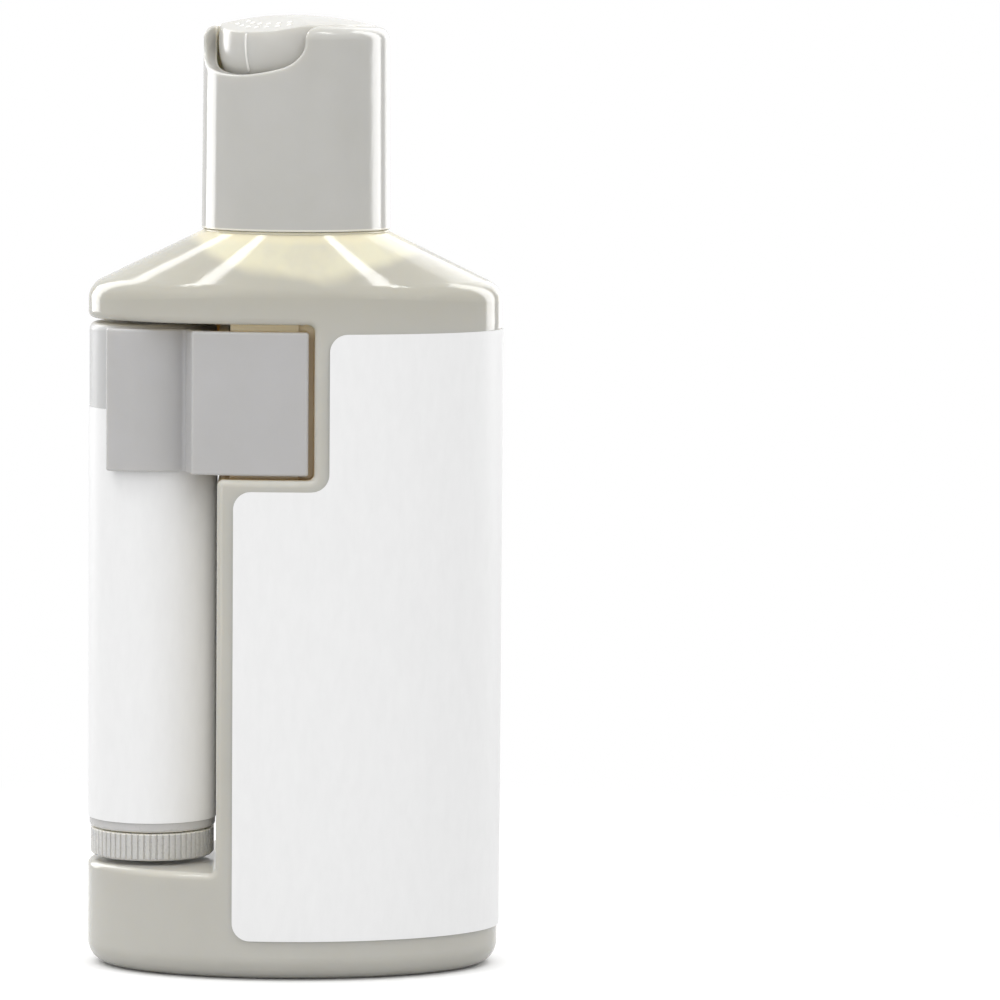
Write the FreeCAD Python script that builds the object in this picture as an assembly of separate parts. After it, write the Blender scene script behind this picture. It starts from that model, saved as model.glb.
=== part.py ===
import FreeCAD, Part
import math
import os

Vec = FreeCAD.Vector

# Oval lotion bottle with a disc-top cap and a lip balm stick docked in its side.
# Sizes are in millimetres and angles in degrees. The front faces -Y and +Z is up.
# The origin is the middle of the base, on the surface that the bottle stands on.

# Bottle body
body_half_width = 25.8
body_half_depth = 15.0
body_wall = 1.1
base_round = 3.0
base_floor = 1.1
pushup_depth = 0.8
pushup_margin = 5.0
shelf_height = 13.3
lintel_height = 4.1
shoulder_rise = 7.0
shoulder_top_radius = 11.4
shoulder_round = 2.8
dock_edge_round = 0.8
dock_corner_round = 0.8

# Bottle neck
neck_radius = 8.95
neck_bore_radius = 7.0
lip_chamfer = 0.4

# Lip balm stick
barrel_radius = 7.9
barrel_height = 45.4
barrel_bore_radius = 6.2
barrel_floor = 1.2
collar_height = 1.2
collar_round = 0.4
spigot_radius = 7.05
spigot_height = 13.5
balm_cap_height = 17.9
balm_cap_wall = 0.85
balm_cap_top = 1.0
balm_cap_round = 0.9
balm_cap_fit = 0.05
balm_cap_seam = 0.1
balm_label_height = 51.6
balm_label_thickness = 0.1
paper_gap = 0.03
dial_radius = 7.75
dial_height = 3.4
dial_gap = 0.2
dial_chamfer = 0.3
dial_ribs = 62
dial_rib_depth = 0.2
hub_radius = 2.4
hub_clearance = 0.15
hub_head_lip = 0.4
hub_head_height = 0.8
spindle_radius = 1.7
spindle_length = 40.0
carrier_height = 9.0
carrier_wall = 0.7
carrier_floor = 1.6
carrier_clearance = 0.2
nut_clearance = 0.12
bullet_clearance = 0.3
bullet_setback = 1.0
bullet_round = 2.2
cast_gap = 0.03

# Dock for the stick in the bottle's left side
stick_overhang = 0.0
stick_foot_gap = 0.6
stick_head_gap = 0.5
channel_clearance = 0.15

# Retainer clip and its pocket
clip_height = 17.7
clip_foot_gap = 0.5
clip_head_gap = 0.9
clip_reach = 11.2
clip_inset = 0.5
clip_plate = 1.6
clip_seat_gap = 0.2
clip_end_gap = 0.7
clip_arm = 1.3
clip_arm_wrap = 37.5
clip_arm_root = 26.0
clip_grip_gap = 0.15
clip_ramp_run = 0.9
clip_web = 1.2
clip_web_gap = 0.3
clip_barb_depth = 0.6
clip_barb_length = 1.0
clip_edge_round = 0.3
clip_bend_round = 0.45

# Bottle label
label_thickness = 0.1
label_foot_margin = 5.1
label_head_margin = 1.1
label_step_margin = 1.4
label_dock_margin = 2.0
label_pocket_margin = 1.9
label_corner = 2.2

# Screw cap with a tilting disc
gasket_thickness = 0.8
gasket_margin = 0.25
thread_height = 1.0
thread_clearance = 0.2
cap_wall = 1.6
cap_draft = 0.2
cap_height = 26.5
cap_foot_gap = 0.2
cap_dome_radius = 38.0
cap_round = 1.6
cap_deck = 1.4
cap_rim_wall = 1.65
spout_azimuth = -40.0
notch_half_width = 8.0
notch_depth = 7.35
notch_bottom_round = 20.0
notch_corner_round = 3.3
notch_lip_round = 0.25
pivot_drop = 3.5
disc_clearance = 0.2
disc_top = 1.2
disc_wall = 1.1
disc_edge_round = 0.4
disc_dip = 0.9
disc_dip_start = 2.7
disc_front_drop = 6.5
disc_back_drop = 1.5
disc_floor_gap = 1.6
trunnion_radius = 0.8
trunnion_bite = 0.6
trunnion_clearance = 0.1
valve_radius = 5.0
valve_half_width = 2.6
valve_clearance = 0.15
spud_radius = 2.2
orifice_radius = 0.9
spout_radius = 2.4
spout_bore_radius = 1.3
spout_dip = 31.0
disc_tilt = 22.0

# Places that follow from the sizes above
balm_cap_radius = spigot_radius + balm_cap_fit + balm_cap_wall
balm_label_bore = max(barrel_radius, balm_cap_radius) + paper_gap
stick_radius = balm_label_bore + balm_label_thickness
stick_x = -(body_half_width + stick_overhang - stick_radius)
dial_z = shelf_height + stick_foot_gap
barrel_z = dial_z + dial_height + dial_gap
barrel_top_z = barrel_z + barrel_height
balm_cap_z = barrel_top_z + balm_cap_seam
stick_top_z = balm_cap_z + balm_cap_height
hub_head_z = barrel_z + barrel_floor + hub_clearance
spindle_z = hub_head_z + hub_head_height
carrier_z = spindle_z + carrier_clearance

ledge_z = stick_top_z + stick_head_gap
body_top_z = ledge_z + lintel_height
shoulder_top_z = body_top_z + shoulder_rise

channel_x = stick_x + stick_radius + channel_clearance
web_x = stick_x + stick_radius + clip_web_gap
post_x = web_x + clip_web + clip_seat_gap
clip_end_x = channel_x + clip_reach
pocket_x = clip_end_x + clip_end_gap
clip_top_z = ledge_z - clip_head_gap
clip_z = clip_top_z - clip_height
pocket_z = clip_z - clip_foot_gap
plate_back = clip_inset + clip_plate
pocket_inset = plate_back + clip_seat_gap
barb_x = clip_end_x - clip_barb_length

cap_z = shoulder_top_z + cap_foot_gap
cap_bore_radius = neck_radius + thread_height + thread_clearance
cap_foot_radius = cap_bore_radius + cap_wall
cap_rim_radius = cap_foot_radius - cap_draft
well_radius = cap_rim_radius - cap_rim_wall
disc_radius = well_radius - disc_clearance
apex_z = cap_z + cap_height
pivot_z = apex_z - pivot_drop
well_z = pivot_z - disc_front_drop - disc_floor_gap
deck_z = well_z - cap_deck
lip_z = deck_z - gasket_thickness
notch_start = 0.5 * math.sqrt(well_radius ** 2 - notch_half_width ** 2)

through = 4.0 * (body_half_width + body_half_depth)


def oval_face(inset, z):
    """Oval section of the body, drawn in from the outer skin by the inset."""
    edge = Part.Ellipse(Vec(0, 0, z), body_half_width - inset, body_half_depth - inset).toShape()
    return Part.Face(Part.Wire(edge))


def oval_prism(inset, z0, z1):
    return oval_face(inset, z0).extrude(Vec(0, 0, z1 - z0))


def oval_depth(inset, x):
    """Distance of the inset oval from the middle plane at the given x."""
    share = x / (body_half_width - inset)
    return (body_half_depth - inset) * math.sqrt(1.0 - share * share)


def box(x0, x1, y0, y1, z0, z1):
    return Part.makeBox(x1 - x0, y1 - y0, z1 - z0, Vec(x0, y0, z0))


def rod(radius, z0, z1, x=0.0):
    return Part.makeCylinder(radius, z1 - z0, Vec(x, 0, z0))


def plan_prism(points, z0, z1):
    """Straight-sided solid on a plan outline given as x, y pairs."""
    corners = [Vec(x, y, z0) for x, y in points]
    return Part.Face(Part.makePolygon(corners + corners[:1])).extrude(Vec(0, 0, z1 - z0))


def front_prism(points, y0, y1):
    """Straight-sided solid on a front outline given as x, z pairs."""
    corners = [Vec(x, y0, z) for x, z in points]
    return Part.Face(Part.makePolygon(corners + corners[:1])).extrude(Vec(0, y1 - y0, 0))


def round_edges(shape, radius, wanted):
    """Fillet the edges whose middle point the test picks."""
    edges = []
    for edge in shape.Edges:
        middle = edge.valueAt(0.5 * (edge.FirstParameter + edge.LastParameter))
        if wanted(edge, middle):
            edges.append(edge)
    return shape.makeFillet(radius, edges)


def near(a, b):
    return abs(a - b) < 1e-4


def flat_at(z):
    """Test for edges that lie in the level plane z."""
    return lambda edge, m: near(edge.BoundBox.ZMin, z) and near(edge.BoundBox.ZMax, z)


def along_y(*places):
    """Test for straight edges that run front to back through the given x, z places."""
    def wanted(edge, m):
        straight = near(edge.BoundBox.XLength, 0) and near(edge.BoundBox.ZLength, 0)
        return straight and any(near(m.x, x) and near(m.z, z) for x, z in places)
    return wanted


def body_form(inset, z0, z1, top_radius, top_z):
    """Oval wall with a ruled shoulder that runs from the oval to the round neck root."""
    oval = Part.Wire(oval_face(inset, z1).OuterWire.Edges)
    ring = Part.Wire(Part.makeCircle(top_radius, Vec(0, 0, top_z)))
    shoulder = Part.makeLoft([oval, ring], True, True)
    return oval_prism(inset, z0, z1).fuse(shoulder).removeSplitter()


def dock_form(grow):
    """Side channel of the stick with the clip's pockets in front and behind.

    The grow value widens it by a wall, which leaves that wall around the dock."""
    left = -2.0 * body_half_width
    low, high = shelf_height - grow, ledge_z + grow
    wall, post, floor = channel_x + grow, post_x + grow, pocket_z - grow
    outline = [(left, low), (wall, low), (wall, floor), (post, floor), (post, high), (left, high)]
    channel = front_prism(outline, -through, through)
    pocket = box(stick_x, pocket_x + grow, -through, through, floor, high)
    if grow == 0:
        channel = round_edges(channel, dock_corner_round, along_y((wall, low)))
        pocket = round_edges(pocket, dock_corner_round, along_y((pocket_x, floor), (pocket_x, high)))
    deep = box(barb_x - clip_seat_gap, through, -through, through, floor - 1, high + 1)
    core = oval_prism(pocket_inset + grow, floor - 1, high + 1)
    core = core.cut(deep.cut(oval_prism(pocket_inset + clip_barb_depth + grow, floor - 1, high + 1)))
    return channel.fuse(pocket.cut(core))


def bottle():
    skin = body_form(0, 0, body_top_z, shoulder_top_radius, shoulder_top_z)
    skin = round_edges(skin, shoulder_round, flat_at(body_top_z))
    skin = round_edges(skin, base_round, flat_at(0))
    skin = skin.cut(oval_prism(pushup_margin, -1, pushup_depth))
    skin = skin.cut(dock_form(0))

    def dock_rim(edge, m):
        on_skin = near(abs(m.y), oval_depth(0, m.x)) if abs(m.x) < body_half_width else True
        in_dock = shelf_height - 0.01 < m.z < ledge_z + 0.01 and m.x < pocket_x + 0.01
        step = along_y((channel_x, pocket_z))(edge, m)
        return step or (on_skin and in_dock)

    skin = round_edges(skin, dock_edge_round, dock_rim)

    cavity_z = pushup_depth + base_floor
    cavity = body_form(body_wall, cavity_z, body_top_z, shoulder_top_radius - body_wall,
                       shoulder_top_z - body_wall)
    cavity = cavity.cut(dock_form(body_wall))
    neck = rod(neck_radius, shoulder_top_z - 0.5 * body_wall, lip_z)
    neck = neck.makeChamfer(lip_chamfer, [e for e in neck.Edges if flat_at(lip_z)(e, None)])
    bore = rod(neck_bore_radius, shoulder_top_z - 2 * body_wall, lip_z + 1)
    return skin.fuse(neck).cut(cavity.fuse(bore)).removeSplitter()


def label_ply(layer):
    """Stepped label that wraps round the right side, one ply above the other."""
    inner = -(paper_gap + layer * (label_thickness + paper_gap))
    low, high = label_foot_margin, ledge_z - label_head_margin
    step = pocket_z - label_step_margin
    lower_x, upper_x = channel_x + label_dock_margin, pocket_x + label_pocket_margin
    right = 2.0 * body_half_width
    outline = [(lower_x, low), (right, low), (right, high), (upper_x, high), (upper_x, step),
               (lower_x, step)]
    blank = front_prism(outline, -through, through)
    corners = along_y((lower_x, low), (lower_x, step), (upper_x, step), (upper_x, high))
    blank = round_edges(blank, label_corner, corners)
    ring = oval_prism(inner - label_thickness, low - 1, high + 1)
    ring = ring.cut(oval_prism(inner, low - 2, high + 2))
    return ring.common(blank)


def retainer_clip():
    """Clip of H section: one pair of jaws grips the bottle, the other the stick."""
    grip = stick_radius + clip_grip_gap
    arm_outer = grip + clip_arm
    root = math.radians(clip_arm_root)
    tip = math.radians(clip_arm_wrap)
    z0, z1 = clip_z, clip_top_z
    crease_x = stick_x + arm_outer * math.sin(root)
    ramp_top_x = crease_x + clip_ramp_run
    ramp_end_x = crease_x + clip_arm

    plate = oval_prism(clip_inset, z0, z1).cut(oval_prism(plate_back, z0 - 1, z1 + 1))
    plate = plate.common(box(ramp_top_x, clip_end_x, -through, 0, z0, z1))
    barb = oval_prism(plate_back - 0.5 * clip_plate, z0, z1)
    barb = barb.cut(oval_prism(plate_back + clip_barb_depth, z0 - 1, z1 + 1))
    barb = barb.common(box(barb_x, clip_end_x, -through, 0, z0, z1))

    ring = rod(arm_outer, z0, z1, stick_x).cut(rod(grip, z0 - 1, z1 + 1, stick_x))
    far = 3.0 * arm_outer
    fan = [(stick_x, 0), (stick_x - far * math.sin(tip), -far * math.cos(tip)),
           (ramp_end_x, -far), (ramp_end_x, 0)]
    arm = ring.common(plan_prism(fan, z0, z1))

    ramp_foot = math.sqrt((grip + 0.5 * clip_arm) ** 2 - (ramp_end_x - stick_x) ** 2)
    ramp = plan_prism([(crease_x, -arm_outer * math.cos(root)),
                       (ramp_top_x, -oval_depth(clip_inset, ramp_top_x)),
                       (ramp_top_x + clip_arm, -oval_depth(plate_back, ramp_top_x + clip_arm)),
                       (ramp_end_x, -ramp_foot)], z0, z1)
    half = plate.fuse([barb, arm, ramp])
    mirrored = half.mirror(Vec(0, 0, 0), Vec(0, 1, 0))
    reach = oval_depth(plate_back - 0.5 * clip_plate, web_x)
    web = box(web_x, web_x + clip_web, -reach, reach, z0, z1)
    clip = half.fuse([mirrored, web]).cut(rod(grip, z0 - 1, z1 + 1, stick_x)).removeSplitter()

    bends = [(crease_x, arm_outer * math.cos(root)), (ramp_top_x, oval_depth(clip_inset, ramp_top_x)),
             (stick_x - arm_outer * math.sin(tip), arm_outer * math.cos(tip)),
             (clip_end_x, oval_depth(clip_inset, clip_end_x))]

    def upright(edge, m):
        return near(edge.BoundBox.ZLength, clip_height) and any(
            near(m.x, x) and near(abs(m.y), y) for x, y in bends)

    def outer_edge(edge, m):
        level = flat_at(z0)(edge, m) or flat_at(z1)(edge, m)
        inside = abs(m.x) < body_half_width - clip_inset
        return level and inside and near(abs(m.y), oval_depth(clip_inset, m.x))

    clip = round_edges(clip, clip_bend_round, upright)
    return round_edges(clip, clip_edge_round, outer_edge)


def balm_tube():
    barrel = rod(barrel_radius, barrel_z, barrel_top_z, stick_x)
    barrel = round_edges(barrel, collar_round, flat_at(barrel_z))
    spigot = rod(spigot_radius, barrel_top_z, barrel_top_z + spigot_height, stick_x)
    bore = rod(barrel_bore_radius, barrel_z + barrel_floor, barrel_top_z + spigot_height + 1, stick_x)
    hole = rod(hub_radius + hub_clearance, barrel_z - 1, barrel_z + barrel_floor + 1, stick_x)
    return barrel.fuse(spigot).cut(bore.fuse(hole)).removeSplitter()


def balm_cap():
    shell = rod(balm_cap_radius, balm_cap_z, stick_top_z, stick_x)
    shell = round_edges(shell, balm_cap_round, flat_at(stick_top_z))
    return shell.cut(rod(spigot_radius + balm_cap_fit, balm_cap_z - 1, stick_top_z - balm_cap_top, stick_x))


def balm_label():
    low = barrel_z + collar_height
    high = low + balm_label_height
    return rod(stick_radius, low, high, stick_x).cut(rod(balm_label_bore, low - 1, high + 1, stick_x))


def balm_dial():
    """Ribbed dial with its hub, snap head and feed spindle in one piece."""
    corners = []
    pitch = 2.0 * math.pi / dial_ribs
    for rib in range(dial_ribs):
        for share, depth in ((-0.3, 0), (0.3, 0), (0.4, dial_rib_depth), (0.6, dial_rib_depth)):
            angle = (rib + share) * pitch
            radius = dial_radius - depth
            corners.append((stick_x + radius * math.cos(angle), radius * math.sin(angle)))
    top_z = dial_z + dial_height
    wheel = plan_prism(corners, dial_z, top_z)
    blank = rod(dial_radius, dial_z, top_z, stick_x)
    blank = blank.makeChamfer(dial_chamfer, [e for e in blank.Edges if flat_at(dial_z)(e, None)])
    wheel = wheel.common(blank)
    hub = rod(hub_radius, top_z, hub_head_z, stick_x)
    head = rod(hub_radius + hub_head_lip, hub_head_z, spindle_z, stick_x)
    spindle = rod(spindle_radius, spindle_z, spindle_z + spindle_length, stick_x)
    return wheel.fuse([hub, head, spindle]).removeSplitter()


def balm_carrier():
    radius = barrel_bore_radius - carrier_clearance
    cup = rod(radius, carrier_z, carrier_z + carrier_height, stick_x)
    well = rod(radius - carrier_wall, carrier_z + carrier_floor, carrier_z + carrier_height + 1, stick_x)
    nut = rod(spindle_radius + nut_clearance, carrier_z - 1, carrier_z + carrier_floor + 1, stick_x)
    return cup.cut(well.fuse(nut))


def balm_bullet():
    """Balm cast in the cup and round the spindle, with a rounded tip."""
    foot = carrier_z + carrier_floor + cast_gap
    neck = carrier_z + carrier_height + cast_gap
    tip = barrel_top_z + spigot_height - bullet_setback
    root_radius = barrel_bore_radius - carrier_clearance - carrier_wall - cast_gap
    body = rod(barrel_bore_radius - bullet_clearance, neck, tip, stick_x)
    body = round_edges(body, bullet_round, flat_at(tip))
    root = rod(root_radius, foot, neck, stick_x)
    bore_top = spindle_z + spindle_length + bullet_clearance
    bore = rod(spindle_radius + bullet_clearance, foot - 1, bore_top, stick_x)
    return body.fuse(root).cut(bore).removeSplitter()


def dome_ball(inset):
    """Ball whose top is the cap's domed crown, drawn in by the inset."""
    return Part.makeSphere(cap_dome_radius - inset, Vec(0, 0, apex_z - cap_dome_radius))


def crown_height(radius):
    """Height of the domed crown at a distance from the cap's axis."""
    return apex_z - cap_dome_radius + math.sqrt(cap_dome_radius ** 2 - radius ** 2)


def cross_rod(radius, x0, x1):
    """Round bar along the disc's pivot axis, before the cap is turned to its azimuth."""
    return Part.makeCylinder(radius, x1 - x0, Vec(x0, 0, pivot_z), Vec(1, 0, 0))


def spoke(radius, angle, length):
    """Round bar from the pivot at an angle above the spout's level direction."""
    slope = math.radians(angle)
    return Part.makeCylinder(radius, length, Vec(0, 0, pivot_z), Vec(0, -math.cos(slope), math.sin(slope)))


def aim(shape):
    """Turn a piece drawn with its spout to the front to the spout's azimuth."""
    return shape.rotate(Vec(0, 0, 0), Vec(0, 0, 1), spout_azimuth)


def notch_wire():
    """Outline of the scoop in the cap's rim: a shallow bottom arc, round corners and straight sides."""
    low, top = apex_z - notch_depth, apex_z + 1
    reach = notch_half_width - notch_corner_round
    swing = notch_bottom_round - notch_corner_round
    drop = math.sqrt(swing ** 2 - reach ** 2)
    bottom = Vec(0, 0, low + notch_bottom_round)
    elbow_z = bottom.z - drop
    edges = []
    joints = []
    for side in (-1, 1):
        elbow = Vec(side * reach, 0, elbow_z)
        touch = bottom + (elbow - bottom) * (notch_bottom_round / swing)
        out = Vec(side, 0, 0) + (touch - elbow) * (1.0 / notch_corner_round)
        middle = elbow + out * (notch_corner_round / out.Length)
        foot = Vec(side * notch_half_width, 0, elbow_z)
        edges.append(Part.Arc(touch, middle, foot).toShape())
        edges.append(Part.LineSegment(foot, Vec(foot.x, 0, top)).toShape())
        joints.append(touch)
    edges.append(Part.Arc(joints[0], Vec(0, 0, low), joints[1]).toShape())
    edges.append(Part.LineSegment(Vec(-notch_half_width, 0, top), Vec(notch_half_width, 0, top)).toShape())
    return Part.Wire(Part.__sortEdges__(edges))


def cap_shell():
    rim_z = crown_height(cap_rim_radius)
    skirt = Part.makeCone(cap_foot_radius, cap_rim_radius, rim_z - cap_z, Vec(0, 0, cap_z))
    crown = rod(cap_rim_radius, rim_z, apex_z + 1)
    shell = skirt.fuse(crown).common(dome_ball(0)).removeSplitter()
    shell = round_edges(shell, cap_round, flat_at(rim_z))
    outline = notch_wire()
    notch = Part.Face(outline).translated(Vec(0, -notch_start, 0)).extrude(Vec(0, -through, 0))
    shell = shell.cut(notch)

    def notch_lip(edge, m):
        outside = math.hypot(m.x, m.y) > math.hypot(notch_half_width, notch_start) and m.y < -notch_start
        across = not near(edge.BoundBox.XLength, 0) or not near(edge.BoundBox.ZLength, 0)
        return outside and across and outline.distToShape(Part.Vertex(m.x, 0, m.z))[0] < 1e-4

    shell = round_edges(shell, notch_lip_round, notch_lip)
    shell = shell.cut(rod(cap_bore_radius, cap_z - 1, deck_z))
    shell = shell.cut(rod(well_radius, well_z, apex_z + 1))
    spud = rod(spud_radius, well_z, pivot_z).cut(cross_rod(valve_radius + valve_clearance, -through, through))
    socket = well_radius + trunnion_bite
    shell = shell.fuse(spud)
    shell = shell.cut(cross_rod(trunnion_radius + trunnion_clearance, -socket, socket))
    shell = shell.cut(rod(orifice_radius, deck_z - 1, pivot_z))
    return aim(shell.removeSplitter())


def sloped_block(y0, z0, y1, z1, far_z):
    """Block bounded by the sloped plane through two y, z places, on the side of the far height."""
    slope = (z1 - z0) / (y1 - y0)
    corners = [Vec(-through, y, z0 + slope * (y - y0)) for y in (-through, through)]
    corners += [Vec(-through, through, far_z), Vec(-through, -through, far_z)]
    return Part.Face(Part.makePolygon(corners + corners[:1])).extrude(Vec(2 * through, 0, 0))


def cap_disc():
    """Tilting disc: a domed lid that dips to the spout, a ball-shaped skirt, a valve drum and a spout arm."""
    ball = Part.makeSphere(disc_radius, Vec(0, 0, pivot_z))
    hollow = Part.makeSphere(disc_radius - disc_wall, Vec(0, 0, pivot_z))
    dip = sloped_block(-disc_dip_start, crown_height(disc_dip_start),
                       -disc_radius, crown_height(disc_radius) - disc_dip, 2 * through)
    lid = ball.common(dome_ball(0))
    lid = round_edges(lid, disc_edge_round, lambda edge, m: near(edge.BoundBox.ZLength, 0) and m.z > pivot_z)
    lid = lid.cut(dip)
    core = hollow.common(dome_ball(disc_top)).cut(dip.translated(Vec(0, 0, -disc_top)))
    front_y = -math.sqrt(disc_radius ** 2 - disc_front_drop ** 2)
    back_y = math.sqrt(disc_radius ** 2 - disc_back_drop ** 2)
    under = sloped_block(front_y, pivot_z - disc_front_drop, back_y, pivot_z - disc_back_drop, -2 * through)
    lid = lid.cut(core).cut(under)
    drum = cross_rod(valve_radius, -valve_half_width, valve_half_width)
    drum = drum.common(dome_ball(0.5 * disc_top)).cut(dip.translated(Vec(0, 0, -0.5 * disc_top)))
    arm = spoke(spout_radius, -spout_dip, 2 * disc_radius).common(ball)
    pin = cross_rod(trunnion_radius, -well_radius - trunnion_bite + trunnion_clearance,
                    well_radius + trunnion_bite - trunnion_clearance)
    pin = pin.cut(hollow)
    disc = lid.fuse([drum, arm, pin])
    disc = disc.cut(spoke(spout_bore_radius, -spout_dip, 2 * disc_radius))
    disc = disc.cut(spoke(orifice_radius, -90.0 - disc_tilt, 2 * valve_radius))
    return aim(disc.removeSplitter())


def cap_gasket():
    washer = rod(cap_bore_radius - gasket_margin, lip_z, deck_z)
    return washer.cut(rod(neck_bore_radius + gasket_margin, lip_z - 1, deck_z + 1))


os.makedirs("parts", exist_ok=True)
pieces = {
    "bottle": bottle(),
    "label_base": label_ply(0),
    "label_leaf": label_ply(1),
    "retainer_clip": retainer_clip(),
    "cap_shell": cap_shell(),
    "cap_disc": cap_disc(),
    "cap_gasket": cap_gasket(),
    "balm_tube": balm_tube(),
    "balm_cap": balm_cap(),
    "balm_label": balm_label(),
    "balm_dial": balm_dial(),
    "balm_carrier": balm_carrier(),
    "balm_bullet": balm_bullet(),
}
for name, shape in pieces.items():
    shape.exportStep("parts/" + name + ".step")
    print(name, len(shape.Solids), shape.isValid(), round(shape.Volume, 2))
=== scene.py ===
import bpy
import bmesh
import math
from mathutils import Matrix, Vector


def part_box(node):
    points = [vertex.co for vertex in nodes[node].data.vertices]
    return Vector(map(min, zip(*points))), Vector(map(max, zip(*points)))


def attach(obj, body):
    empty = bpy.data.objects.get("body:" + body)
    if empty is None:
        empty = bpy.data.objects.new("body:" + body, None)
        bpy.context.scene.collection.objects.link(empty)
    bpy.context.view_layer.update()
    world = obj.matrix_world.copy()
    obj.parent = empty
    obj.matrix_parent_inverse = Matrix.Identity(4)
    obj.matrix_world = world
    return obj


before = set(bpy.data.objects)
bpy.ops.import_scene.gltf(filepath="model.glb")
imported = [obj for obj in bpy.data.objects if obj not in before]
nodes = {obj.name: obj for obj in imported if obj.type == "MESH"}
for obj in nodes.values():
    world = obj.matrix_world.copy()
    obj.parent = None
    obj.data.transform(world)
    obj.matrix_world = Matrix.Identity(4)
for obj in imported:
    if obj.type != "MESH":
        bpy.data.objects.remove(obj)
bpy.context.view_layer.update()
MM = 0.001
FULL_TURN = 2.0 * math.pi
WHITE = (1.0, 1.0, 1.0, 1.0)

# Sizes that the dressing shares with the solids, in millimetres
NECK_RADIUS = 8.95
CAP_BORE = 10.15
THREAD_LEAD = 3.175
DOME_RADIUS = 38.0
DISC_RADIUS = 9.7
DIP_START = 2.7
DIP_DEPTH = 0.9
PIVOT_DROP = 3.5
SPOUT_AZIMUTH = math.radians(-40.0)

# Half width and half depth of the ovals that inner faces are told apart by, in metres
BOTTLE_OVAL = (0.0258, 0.0150)
CLIP_OVAL = (0.0253, 0.0145)

# Places where one tone gives way to another, from and to: shares of an oval, then metres
BOTTLE_INWARD = (0.95, 0.86)
CLIP_INWARD = (0.93, 0.87)
# Edges of the pale cream painted as painted light in the cap's bore and at its foot
CAP_BORE_EDGE = (0.01020, 0.00995)
CAP_FOOT = (0.09300, 0.09285)
# Edge of the warm cream painted as painted light on the clip's inner faces
CLIP_BOTTLE_SIDE = (-0.0110, -0.0100)
# Edges of the near white painted as painted light on the seam faces between collar and dial
SEAM_LOW, SEAM_HIGH = (0.01710, 0.01722), (0.01766, 0.01754)
# Edge of the paler warm grey painted as painted light on the top of the stick's cap
STICK_TOP = (0.08045, 0.08075)
SHOULDER = (0.078, 0.088)
FILL_LINE = (0.0861, 0.0879)
# Band under the cap's foot that is painted pale cream as painted light
CLEAR_RIM = (0.0908, 0.0922)
NECK_ROOT = (0.0928, 0.0940)
# Edges of the dock's painted light and of its pocket's painted brown shade
DOCK_LOW, DOCK_HIGH = (0.0130, 0.0138), (0.0822, 0.0814)
POCKET_LOW, POCKET_SIDE = (0.0610, 0.0622), (-0.0102, -0.0090)
POCKET_TOP = (0.0796, 0.0806)

# The lotion's line: where along X it is lowest, how fast it climbs aside, and its ripple
FILL_MIDDLE = 0.002
FILL_CLIMB = 20.0
FILL_RIPPLE = 0.0008

# Part of a noise that is spread over the whole way from one tone to the other
NOISE_SPAN = (0.3, 0.7)


def linear(red, green, blue):
    """Colour written as it shows on a screen, 0 to 255, turned into linear light."""
    out = []
    for level in (red, green, blue):
        share = level / 255.0
        out.append(share / 12.92 if share <= 0.04045 else ((share + 0.055) / 1.055) ** 2.4)
    return (*out, 1.0)


# Materials

class Graph:
    """Short calls for the nodes of a material or of the world."""

    def __init__(self, tree):
        self.tree = tree

    def add(self, kind, **settings):
        node = self.tree.nodes.new(kind)
        for key, value in settings.items():
            setattr(node, key, value)
        return node

    def wire(self, source, target):
        self.tree.links.new(source, target)

    def spread(self, value, low, high, to_low=0.0, to_high=1.0, smooth=False):
        node = self.add("ShaderNodeMapRange")
        if smooth:
            node.interpolation_type = "SMOOTHSTEP"
        self.wire(value, node.inputs["Value"])
        node.inputs["From Min"].default_value = low
        node.inputs["From Max"].default_value = high
        node.inputs["To Min"].default_value = to_low
        node.inputs["To Max"].default_value = to_high
        return node.outputs["Result"]

    def math(self, operation, first, second):
        node = self.add("ShaderNodeMath", operation=operation)
        for socket, value in zip(node.inputs, (first, second)):
            if isinstance(value, (int, float)):
                socket.default_value = value
            else:
                self.wire(value, socket)
        return node.outputs["Value"]

    def seen_plainly(self, path):
        """1 for what the camera sees straight, through a clear piece or in gloss."""
        seen = path.outputs["Is Camera Ray"]
        for name in ("Is Transmission Ray", "Is Glossy Ray"):
            seen = self.math("MAXIMUM", seen, path.outputs[name])
        return seen

    def end_with_mix(self, factor, first, second, output):
        mix = self.add("ShaderNodeMixShader")
        self.wire(factor, mix.inputs["Fac"])
        self.wire(first, mix.inputs[1])
        self.wire(second, mix.inputs[2])
        self.wire(mix.outputs["Shader"], self.tree.nodes[output].inputs["Surface"])


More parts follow.
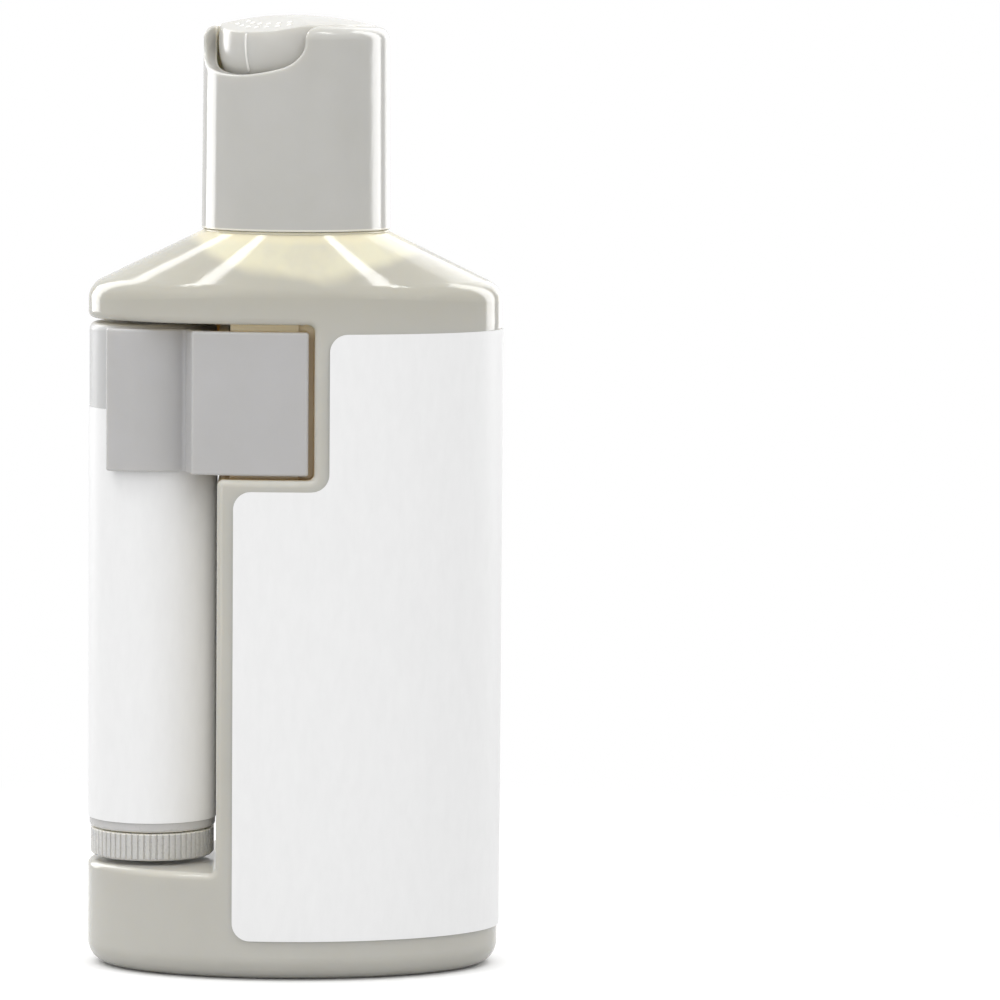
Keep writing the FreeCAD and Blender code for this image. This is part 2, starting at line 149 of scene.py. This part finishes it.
class Shader(Graph):
    """A Principled material and short calls for the nodes that feed it."""

    def __init__(self, name):
        self.material = bpy.data.materials.new(name)
        self.material.use_nodes = True
        super().__init__(self.material.node_tree)
        self.surface = self.tree.nodes["Principled BSDF"]
        self.coords = self.add("ShaderNodeTexCoord").outputs["Object"]

    def fix(self, **values):
        for key, value in values.items():
            self.surface.inputs[key.replace("_", " ")].default_value = value

    def noise(self, scale, detail=3.0, roughness=0.5, stretch=None):
        node = self.add("ShaderNodeTexNoise")
        node.inputs["Scale"].default_value = scale
        node.inputs["Detail"].default_value = detail
        node.inputs["Roughness"].default_value = roughness
        if stretch is None:
            self.wire(self.coords, node.inputs["Vector"])
        else:
            mapping = self.add("ShaderNodeMapping")
            mapping.inputs["Scale"].default_value = stretch
            self.wire(self.coords, mapping.inputs["Vector"])
            self.wire(mapping.outputs["Vector"], node.inputs["Vector"])
        return node.outputs["Fac"]

    def blend(self, factor, first, second):
        node = self.add("ShaderNodeMix", data_type="RGBA")
        self.wire(factor, node.inputs["Factor"])
        for key, value in (("A", first), ("B", second)):
            socket = next(s for s in node.inputs if s.name == key and s.type == "RGBA")
            if isinstance(value, tuple):
                socket.default_value = value
            else:
                self.wire(value, socket)
        return next(s for s in node.outputs if s.type == "RGBA")

    def axis(self, name):
        node = self.add("ShaderNodeSeparateXYZ")
        self.wire(self.coords, node.inputs["Vector"])
        return node.outputs[name]

    def squares(self, first, second):
        return self.math("ADD", self.math("MULTIPLY", first, first), self.math("MULTIPLY", second, second))

    def oval_share(self, half_width, half_depth):
        """Square of the distance from the upright axis, 1 on the oval."""
        return self.squares(self.math("DIVIDE", self.axis("X"), half_width),
                            self.math("DIVIDE", self.axis("Y"), half_depth))

    def colour(self, source):
        self.wire(source, self.surface.inputs["Base Color"])

    def rough(self, source):
        self.wire(source, self.surface.inputs["Roughness"])

    def relief(self, height, depth_mm, strength, soften_mm=0.0):
        """Bump from a height of 0 to 1, over edges that catch light as if softened."""
        bump = self.add("ShaderNodeBump")
        bump.inputs["Strength"].default_value = strength
        bump.inputs["Distance"].default_value = depth_mm * MM
        self.wire(height, bump.inputs["Height"])
        if soften_mm:
            bevel = self.add("ShaderNodeBevel", samples=6)
            bevel.inputs["Radius"].default_value = soften_mm * MM
            self.wire(bevel.outputs["Normal"], bump.inputs["Normal"])
        self.wire(bump.outputs["Normal"], self.surface.inputs["Normal"])


def cap_painted_light_mask(s):
    """Mask of the cap's bore, well and foot, which are painted a pale cream as painted light over the shade
    that falls in them.
    """
    bore, wall = CAP_BORE_EDGE
    within = s.spread(s.squares(s.axis("X"), s.axis("Y")), bore ** 2, wall ** 2)
    return s.math("MAXIMUM", within, s.spread(s.axis("Z"), *CAP_FOOT))


def clip_painted_light_mask(s):
    """Mask of the clip's inner faces, behind its plates and arms, which are painted a warm cream as painted
    light over their shade.
    """
    inward = s.spread(s.oval_share(*CLIP_OVAL), *CLIP_INWARD)
    return s.math("MULTIPLY", inward, s.spread(s.axis("X"), *CLIP_BOTTLE_SIDE))


def dial_seam_painted_light(s):
    """Mask of the faces that meet between the stick's collar and its dial, painted near white as painted
    light over the dark seam.
    """
    z = s.axis("Z")
    return s.math("MULTIPLY", s.spread(z, *SEAM_LOW), s.spread(z, *SEAM_HIGH))


def stick_top_painted_light(s):
    """Mask of the flat top of the stick's cap, painted a paler warm grey as painted light in the gap under
    the ledge.
    """
    return s.spread(s.axis("Z"), *STICK_TOP)


def moulded(name, tone, other, rough, soften_mm=0.25, glow=0.0, glow_mm=1.5, relief_mm=0.006, painted_light_inside=None):
    """Moulded plastic: cloudy tone, a faint flow along the draw, and a slightly uneven gloss.

    The painted-light pair is a mask and a paler colour painted on faces that are hidden or face each other:
    painted light over the shade that falls there."""
    s = Shader(name)
    shade = s.blend(s.spread(s.noise(110.0, detail=4.0, roughness=0.55), *NOISE_SPAN), tone, other)
    # Painted light: hidden faces take the paler colour in place of their shade.
    if painted_light_inside:
        mask, colour = painted_light_inside
        shade = s.blend(mask(s), shade, colour)
    s.colour(shade)
    grain = s.noise(2600.0, detail=2.0, roughness=0.6)
    s.rough(s.spread(grain, *NOISE_SPAN, rough * 0.85, rough * 1.2))
    flow = s.noise(170.0, detail=2.0, roughness=0.4, stretch=(1.0, 1.0, 0.35))
    height = s.math("ADD", s.math("MULTIPLY", flow, 0.8), s.math("MULTIPLY", grain, 0.2))
    s.relief(height, relief_mm, strength=0.5, soften_mm=soften_mm)
    s.fix(IOR=1.49, Subsurface_Weight=glow, Subsurface_Radius=(1.0, 0.92, 0.75),
          Subsurface_Scale=glow_mm * MM)
    return s.material


def bottle_skin(s, x, z):
    """Colour of the bottle's outside: lotion up to a wavy fill line, clearer above it, and a pale cream band
    under the cap's foot that is painted light.
    """
    cloud = s.spread(s.noise(70.0), *NOISE_SPAN)
    lotion = s.blend(cloud, linear(191, 189, 181), linear(186, 184, 176))
    filled = s.blend(s.spread(z, *SHOULDER, smooth=True), lotion, linear(180, 177, 165))

    aside = s.math("SUBTRACT", x, FILL_MIDDLE)
    climb = s.math("MULTIPLY", s.math("MULTIPLY", aside, aside), FILL_CLIMB)
    ripple = s.spread(s.noise(120.0, detail=2.0), 0.25, 0.75, -FILL_RIPPLE, FILL_RIPPLE)
    level = s.math("ADD", s.math("SUBTRACT", z, climb), ripple)
    above = s.spread(level, *FILL_LINE, smooth=True)

    film = s.spread(s.noise(160.0, roughness=0.55), 0.42, 0.7)
    clear = s.blend(film, linear(218, 213, 188), linear(205, 201, 184))
    # Band under the cap's foot painted pale cream: painted light over the shade of the gap under the cap.
    clear = s.blend(s.spread(z, *CLEAR_RIM, smooth=True), clear, linear(232, 222, 190))
    skin = s.blend(above, filled, clear)
    return s.blend(s.spread(z, *NECK_ROOT, smooth=True), skin, linear(224, 220, 205))


def bottle_finish():
    """Milky blown plastic; the dock's walls are painted paler as painted light, with a cream band under the
    ledge, and its pocket is painted brown as painted shade.
    """
    s = Shader("milky_bottle")
    x, z = s.axis("X"), s.axis("Z")
    skin = bottle_skin(s, x, z)

    # Painted light and shade in the dock: walls paler than the skin, a cream band under the ledge, and a
    # brown pocket.
    pocket = s.math("MULTIPLY", s.spread(z, *POCKET_LOW), s.spread(x, *POCKET_SIDE))
    dock_painted_light = s.blend(pocket, linear(240, 237, 229), linear(222, 198, 154))
    dock_painted_light = s.blend(s.spread(z, *POCKET_TOP), dock_painted_light, linear(252, 236, 200))
    inward = s.spread(s.oval_share(*BOTTLE_OVAL), *BOTTLE_INWARD, smooth=True)
    dock = s.math("MULTIPLY", s.spread(z, *DOCK_LOW), s.spread(z, *DOCK_HIGH))
    s.colour(s.blend(s.math("MULTIPLY", inward, dock), skin, dock_painted_light))

    grain = s.noise(2400.0, detail=2.0, roughness=0.6)
    s.rough(s.spread(grain, *NOISE_SPAN, 0.09, 0.14))
    wave = s.noise(90.0, detail=2.0, roughness=0.4)
    height = s.math("ADD", s.math("MULTIPLY", wave, 0.9), s.math("MULTIPLY", grain, 0.1))
    s.relief(height, depth_mm=0.03, strength=0.4, soften_mm=0.3)
    s.fix(IOR=1.52, Subsurface_Weight=0.5, Subsurface_Radius=(1.0, 0.85, 0.6), Subsurface_Scale=2.5 * MM)
    return s.material


def label_finish(name, tone, other, rough):
    """Coated label film: nearly even white, a faint fibre in the sheet and a satin gloss."""
    s = Shader(name)
    fibre = s.noise(900.0, detail=4.0, roughness=0.65, stretch=(1.0, 1.0, 0.3))
    s.colour(s.blend(s.spread(fibre, *NOISE_SPAN), tone, other))
    s.rough(s.spread(s.noise(1500.0, roughness=0.6), *NOISE_SPAN, rough * 0.9, rough * 1.15))
    s.relief(s.noise(420.0), depth_mm=0.01, strength=0.35)
    s.fix(IOR=1.45)
    return s.material


def balm_finish():
    """Waxy balm with soft clouds in it."""
    s = Shader("balm_wax")
    cloud = s.spread(s.noise(240.0), 0.35, 0.65)
    s.colour(s.blend(cloud, linear(240, 233, 214), linear(229, 220, 198)))
    s.rough(s.spread(s.noise(700.0), *NOISE_SPAN, 0.3, 0.45))
    s.relief(s.noise(520.0), depth_mm=0.02, strength=0.4)
    s.fix(IOR=1.44, Subsurface_Weight=0.4, Subsurface_Radius=(1.0, 0.8, 0.5), Subsurface_Scale=2.0 * MM)
    return s.material


def foam_finish():
    """Pressed foam of the cap's sealing washer."""
    s = Shader("foam_washer")
    texture = s.add("ShaderNodeTexVoronoi")
    texture.inputs["Scale"].default_value = 2600.0
    s.wire(s.coords, texture.inputs["Vector"])
    cells = texture.outputs["Distance"]
    s.colour(s.blend(s.spread(cells, 0.0, 0.6), linear(232, 231, 226), linear(216, 214, 208)))
    s.rough(s.spread(cells, 0.0, 0.6, 0.75, 0.6))
    s.relief(cells, depth_mm=0.05, strength=0.6)
    return s.material


BOTTLE = bottle_finish()
# The cap's bore, well and foot are painted a pale cream: painted light over the shade in those crevices.
CAP = moulded("cap_plastic", linear(191, 190, 186), linear(187, 186, 181), rough=0.12, soften_mm=0.3,
              glow=0.45, glow_mm=2.0, painted_light_inside=(cap_painted_light_mask, linear(246, 241, 228)))
DISC = moulded("disc_plastic", linear(200, 199, 194), linear(194, 192, 187), rough=0.16,
               glow=0.45, glow_mm=2.0)
# The clip's inner faces are painted a warm cream: painted light over the shade behind the clip.
CLIP = moulded("clip_plastic", linear(186, 185, 185), linear(182, 181, 180), rough=0.42, soften_mm=0.2,
               glow=0.4, glow_mm=2.0, painted_light_inside=(clip_painted_light_mask, linear(236, 216, 178)))
# The top of the stick's cap is painted a paler warm grey: painted light in the shaded gap under the ledge.
BALM_CAP = moulded("balm_cap_plastic", linear(196, 196, 196), linear(192, 192, 191), rough=0.34,
                   soften_mm=0.2, glow=0.3, glow_mm=1.2, relief_mm=0.002,
                   painted_light_inside=(stick_top_painted_light, linear(206, 203, 194)))
# The faces at the seam between the collar and the dial are painted near white: painted light over the shade
# in the seam.
BALM_TUBE = moulded("balm_tube_plastic", linear(200, 199, 198), linear(195, 194, 192), rough=0.3,
                    soften_mm=0.2, glow=0.3, glow_mm=1.2, painted_light_inside=(dial_seam_painted_light, linear(250, 246, 236)))
DIAL = moulded("dial_plastic", linear(203, 202, 199), linear(197, 196, 193), rough=0.28, soften_mm=0.0,
               glow=0.6, glow_mm=1.6, painted_light_inside=(dial_seam_painted_light, linear(250, 246, 236)))
# Rib and dots: the disc's plastic painted brighter and without glow, a painted highlight on the raised marks.
RAISED_PAINTED_HIGHLIGHT = moulded("disc_raised_painted_highlight", linear(236, 235, 231), linear(231, 230, 226), rough=0.14, soften_mm=0.0)
LABEL = label_finish("label_film", linear(240, 240, 240), linear(237, 237, 237), 0.42)
LABEL_BASE = label_finish("label_backing", linear(236, 236, 234), linear(231, 231, 229), 0.5)
BALM_LABEL = label_finish("balm_label_film", linear(241, 241, 241), linear(238, 238, 238), 0.36)
BALM = balm_finish()
FOAM = foam_finish()

finishes = {
    "bottle": BOTTLE, "label_base": LABEL_BASE, "label_leaf": LABEL, "retainer_clip": CLIP,
    "cap_shell": CAP, "cap_disc": DISC, "cap_gasket": FOAM, "balm_tube": BALM_TUBE,
    "balm_cap": BALM_CAP, "balm_label": BALM_LABEL, "balm_dial": DIAL,
    "balm_carrier": BALM_TUBE, "balm_bullet": BALM,
}
for name, material in finishes.items():
    nodes[name].data.materials.clear()
    nodes[name].data.materials.append(material)


# Pieces made here, with sizes in millimetres

# Threads: height over the wall, root sunk into it, start over the cap's foot, turns, steps and fade in a turn
THREAD_HEIGHT = 0.92
THREAD_SINK = 0.1
THREAD_RISE = 2.9
NECK_THREAD_TURNS = 2.0
CAP_THREAD_TURNS = 1.5
THREAD_STEPS = 96
THREAD_FADE = 6.0
THREAD_END_WIDTH = 0.4

# Rib on the disc: ends under the disc's apex, and pairs of how proud and how far aside
RIB_TOP = 2.3
RIB_LOW = 7.1
RIB_STEPS = 24
RIB_FADE_STEPS = 3.0
RIB_END_SHARE = 0.15
RIB_PROFILE = ((-0.05, -0.2), (0.09, -0.11), (0.13, 0.0), (0.09, 0.11), (-0.05, 0.2))

# Dots on the disc: arcs of reach, count and step in degrees, and pairs of radius share and rise
DOT_RADIUS = 0.33
DOT_SIDES = 16
DOT_ARCS = ((7.7, 7, 11.0), (6.3, 6, 13.0))
DOT_PROFILE = ((1.0, -0.06), (0.93, 0.05), (0.7, 0.11), (0.38, 0.15))

# Bead under the cap: gap to the cap's foot, and pairs of radius and height from the bead's top
BEAD_GAP = 0.06
BEAD_SIDES = 128
BEAD_PROFILE = ((10.5, -0.5), (11.3, -0.5), (11.56, -0.36), (11.64, -0.2), (11.56, -0.07), (11.4, 0.0),
                (10.5, 0.0))


def add_piece(name, mesh, material, body):
    bmesh.ops.recalc_face_normals(mesh, faces=mesh.faces)
    data = bpy.data.meshes.new(name)
    mesh.to_mesh(data)
    mesh.free()
    piece = bpy.data.objects.new(name, data)
    bpy.context.scene.collection.objects.link(piece)
    data.materials.append(material)
    for polygon in data.polygons:
        polygon.use_smooth = True
    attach(piece, body)


def join_rings(mesh, rings, closed=False):
    """Faces from each ring of points to the next; the two ends are filled unless the rings close up."""
    sides = len(rings[0])
    for a, b in zip(rings, rings[1:] + rings[:1] if closed else rings[1:]):
        for k in range(sides):
            mesh.faces.new((a[k], b[k], b[(k + 1) % sides], a[(k + 1) % sides]))
    if not closed:
        mesh.faces.new(rings[0])
        mesh.faces.new(list(reversed(rings[-1])))


def turned_ring(mesh, profile, angle, z):
    """Points of a profile, pairs of radius and height, at one angle round the upright axis."""
    return [mesh.verts.new((radius * math.cos(angle) * MM, radius * math.sin(angle) * MM, (z + rise) * MM))
            for radius, rise in profile]


def spout_point(out, aside, z):
    """Place out from the cap's axis towards the spout and aside from it."""
    x = out * math.sin(SPOUT_AZIMUTH) + aside * math.cos(SPOUT_AZIMUTH)
    y = -out * math.cos(SPOUT_AZIMUTH) + aside * math.sin(SPOUT_AZIMUTH)
    return (x * MM, y * MM, z * MM)


def helix_ridge(root, crest, root_width, crest_width, z_start, turns):
    """Screw ridge of trapezoid section that fades in and out at its ends."""
    mesh = bmesh.new()
    steps = int(turns * THREAD_STEPS)
    rings = []
    for i in range(steps + 1):
        turned = turns * i / steps
        fade = min(1.0, turned * THREAD_FADE, (turns - turned) * THREAD_FADE)
        fade = math.sin(0.5 * math.pi * fade)
        top = root + (crest - root) * fade
        half_crest = 0.5 * crest_width * (THREAD_END_WIDTH + (1.0 - THREAD_END_WIDTH) * fade)
        profile = ((root, -0.5 * root_width), (top, -half_crest), (top, half_crest), (root, 0.5 * root_width))
        rings.append(turned_ring(mesh, profile, turned * FULL_TURN, z_start + turned * THREAD_LEAD))
    join_rings(mesh, rings)
    return mesh


def disc_rib(pivot_z, top_z, low_z):
    """Fine upright rib on the disc's ball-shaped front, from under its edge to the notch."""
    mesh = bmesh.new()
    rings = []
    for i in range(RIB_STEPS + 1):
        z = top_z + (low_z - top_z) * i / RIB_STEPS
        out = math.sqrt(DISC_RADIUS ** 2 - (z - pivot_z) ** 2)
        fade = min(1.0, RIB_END_SHARE + min(i, RIB_STEPS - i) / RIB_FADE_STEPS)
        fade = math.sin(0.5 * math.pi * fade)
        rings.append([mesh.verts.new(spout_point(out + (proud * fade if proud > 0.0 else proud), aside, z))
                      for proud, aside in RIB_PROFILE])
    join_rings(mesh, rings)
    return mesh


def grip_dots(apex_z):
    """Two arcs of low raised dots on the part of the disc's top that dips to the spout."""
    mesh = bmesh.new()
    centre_z = apex_z - DOME_RADIUS
    start_z = centre_z + math.sqrt(DOME_RADIUS ** 2 - DIP_START ** 2)
    edge_z = centre_z + math.sqrt(DOME_RADIUS ** 2 - DISC_RADIUS ** 2) - DIP_DEPTH
    slope = (edge_z - start_z) / (DISC_RADIUS - DIP_START)

    def dot_ring(out, aside, radius, rise):
        ring = []
        for k in range(DOT_SIDES):
            angle = FULL_TURN * k / DOT_SIDES
            u, v = out + radius * math.cos(angle), aside + radius * math.sin(angle)
            ring.append(mesh.verts.new(spout_point(u, v, start_z + slope * (u - DIP_START) + rise)))
        return ring

    for reach, count, step in DOT_ARCS:
        for i in range(count):
            turn = math.radians((i - 0.5 * (count - 1)) * step)
            out, aside = reach * math.cos(turn), reach * math.sin(turn)
            join_rings(mesh, [dot_ring(out, aside, DOT_RADIUS * share, rise) for share, rise in DOT_PROFILE])
    return mesh


def neck_bead(top_z):
    """Bead round the neck's root, close under the cap's foot; its pale tone is the bottle's painted light
    there.
    """
    mesh = bmesh.new()
    rings = [turned_ring(mesh, BEAD_PROFILE, FULL_TURN * k / BEAD_SIDES, top_z) for k in range(BEAD_SIDES)]
    join_rings(mesh, rings, closed=True)
    return mesh


cap_foot_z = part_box("cap_shell")[0][2] / MM
apex_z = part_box("cap_disc")[1][2] / MM
thread_z = cap_foot_z + THREAD_RISE
neck_ridge = helix_ridge(
    NECK_RADIUS - THREAD_SINK, NECK_RADIUS + THREAD_HEIGHT, root_width=1.5, crest_width=0.7,
    z_start=thread_z, turns=NECK_THREAD_TURNS)
cap_ridge = helix_ridge(
    CAP_BORE + THREAD_SINK, CAP_BORE - THREAD_HEIGHT, root_width=1.4, crest_width=0.6,
    z_start=thread_z + 0.5 * THREAD_LEAD, turns=CAP_THREAD_TURNS)
rib = disc_rib(apex_z - PIVOT_DROP, apex_z - RIB_TOP, apex_z - RIB_LOW)
add_piece("neck_thread", neck_ridge, BOTTLE, "bottle_body")
add_piece("cap_thread", cap_ridge, CAP, "cap_body")
add_piece("neck_bead", neck_bead(cap_foot_z - BEAD_GAP), BOTTLE, "bottle_body")
add_piece("disc_rib", rib, RAISED_PAINTED_HIGHLIGHT, "disc_body")
add_piece("disc_dots", grip_dots(apex_z), RAISED_PAINTED_HIGHLIGHT, "disc_body")


# Stage, light and camera

# Half side of the floor, where its shadow ends, where the light is shaded, and what the lamps aim at
FLOOR_REACH = 4.0
SHADOW_EDGE = (0.05, 0.16)
SHADE_SPAN = (0.1, 0.9)
AIM = Vector((0.0, 0.0, 0.06))

# Lamps: name, azimuth and elevation in degrees, distance, width and height in metres, radiance
GLOSS_LAMPS = (
    ("rim_left", -130.0, 24.0, 0.95, 0.46, 1.0, 4.4),
    ("rim_right", 118.0, 24.0, 0.95, 0.36, 1.0, 5.2),
    ("edge_right", 154.0, 22.0, 0.95, 0.44, 1.0, 1.6),
)
FILL_LAMPS = (
    ("top_left", -60.0, 60.0, 0.85, 0.14, 0.22, 10.0),
    ("top_right", 56.0, 60.0, 0.85, 0.14, 0.22, 10.0),
    ("key_left", -40.0, 22.0, 1.3, 0.8, 0.8, 0.46),
    ("key_right", 40.0, 18.0, 1.3, 0.8, 0.8, 0.42),
)


def floor_finish():
    """Pale matt floor: it takes the shadow near the object, is clean white further off and bounces little."""
    s = Shader("floor_white")
    path = s.add("ShaderNodeLightPath")
    pale = s.blend(s.spread(s.noise(4.0), *NOISE_SPAN), linear(250, 250, 250), linear(248, 248, 248))
    s.colour(s.blend(path.outputs["Is Diffuse Ray"], pale, linear(186, 186, 186)))
    s.fix(Roughness=0.9)
    distance = s.add("ShaderNodeVectorMath", operation="LENGTH")
    s.wire(s.coords, distance.inputs[0])
    far = s.spread(distance.outputs["Value"], *SHADOW_EDGE, smooth=True)
    white = s.add("ShaderNodeEmission").outputs["Emission"]
    clean = s.math("MULTIPLY", far, s.seen_plainly(path))
    s.end_with_mix(clean, s.surface.outputs["BSDF"], white, "Material Output")
    return s.material


def studio_floor():
    mesh = bpy.data.meshes.new("floor")
    corners = [(x * FLOOR_REACH, y * FLOOR_REACH, 0.0) for x, y in ((-1, -1), (1, -1), (1, 1), (-1, 1))]
    mesh.from_pydata(corners, [], [(0, 1, 2, 3)])
    mesh.materials.append(floor_finish())
    plane = bpy.data.objects.new("floor", mesh)
    bpy.context.scene.collection.objects.link(plane)


def studio_world(level, overhead, shade):
    """Soft light, stronger overhead and shaded on the right; the camera and gloss see clean white."""
    world = bpy.data.worlds.new("studio")
    bpy.context.scene.world = world
    world.use_nodes = True
    g = Graph(world.node_tree)
    way = g.add("ShaderNodeSeparateXYZ")
    g.wire(g.add("ShaderNodeTexCoord").outputs["Generated"], way.inputs["Vector"])
    by_height = g.spread(way.outputs["Z"], 0.0, 1.0, level, overhead, smooth=True)
    by_side = g.spread(way.outputs["X"], *SHADE_SPAN, 1.0, shade, smooth=True)
    fill = g.tree.nodes["Background"]
    fill.inputs["Color"].default_value = WHITE
    g.wire(g.math("MULTIPLY", by_height, by_side), fill.inputs["Strength"])
    clean = g.add("ShaderNodeBackground")
    clean.inputs["Color"].default_value = WHITE
    clean.inputs["Strength"].default_value = 1.0
    seen = g.seen_plainly(g.add("ShaderNodeLightPath"))
    g.end_with_mix(seen, fill.outputs["Background"], clean.outputs["Background"], "World Output")


def softbox(name, azimuth, elevation, distance, width, height, radiance, fills=True):
    """Area lamp aimed at the object, placed by angles from the camera's side, positive to the right.

    One that does not fill shows in gloss alone, so that pale sides keep their tone."""
    turn, rise = math.radians(azimuth), math.radians(elevation)
    way = Vector((math.cos(rise) * math.sin(turn), -math.cos(rise) * math.cos(turn), math.sin(rise)))
    data = bpy.data.lights.new(name, "AREA")
    data.shape = "RECTANGLE"
    data.size, data.size_y = width, height
    data.energy = radiance * math.pi * width * height
    lamp = bpy.data.objects.new(name, data)
    bpy.context.scene.collection.objects.link(lamp)
    lamp.location = AIM + way * distance
    lamp.rotation_mode = "QUATERNION"
    lamp.rotation_quaternion = (-way).to_track_quat("-Z", "Y")
    lamp.visible_camera = False
    lamp.visible_diffuse = fills


def photo_camera(place, yaw, pitch, roll, lens):
    """Camera that looks along +Y, turned right by the yaw and down by the pitch, angles in radians."""
    ahead = Vector((math.sin(yaw) * math.cos(pitch), math.cos(yaw) * math.cos(pitch), -math.sin(pitch)))
    right = Vector((math.cos(yaw), -math.sin(yaw), 0.0))
    up = right.cross(ahead)
    tilted_right = right * math.cos(roll) - up * math.sin(roll)
    tilted_up = right * math.sin(roll) + up * math.cos(roll)
    camera = bpy.data.objects.new("camera", bpy.data.cameras.new("camera"))
    bpy.context.scene.collection.objects.link(camera)
    turn = Matrix((tilted_right, tilted_up, -ahead)).transposed().to_4x4()
    camera.matrix_world = Matrix.Translation(Vector(place)) @ turn
    camera.data.sensor_width = 36.0
    camera.data.lens = lens
    camera.data.clip_start, camera.data.clip_end = 0.01, 50.0
    bpy.context.scene.camera = camera


studio_floor()
studio_world(level=0.70, overhead=1.50, shade=0.74)
for row in GLOSS_LAMPS:
    softbox(*row, fills=False)
for row in FILL_LAMPS:
    softbox(*row)
photo_camera(place=(0.00260, -0.700, 0.12520), yaw=0.0331, pitch=0.0947, roll=-0.0082, lens=201.68)
bpy.context.scene.view_settings.view_transform = "Standard"
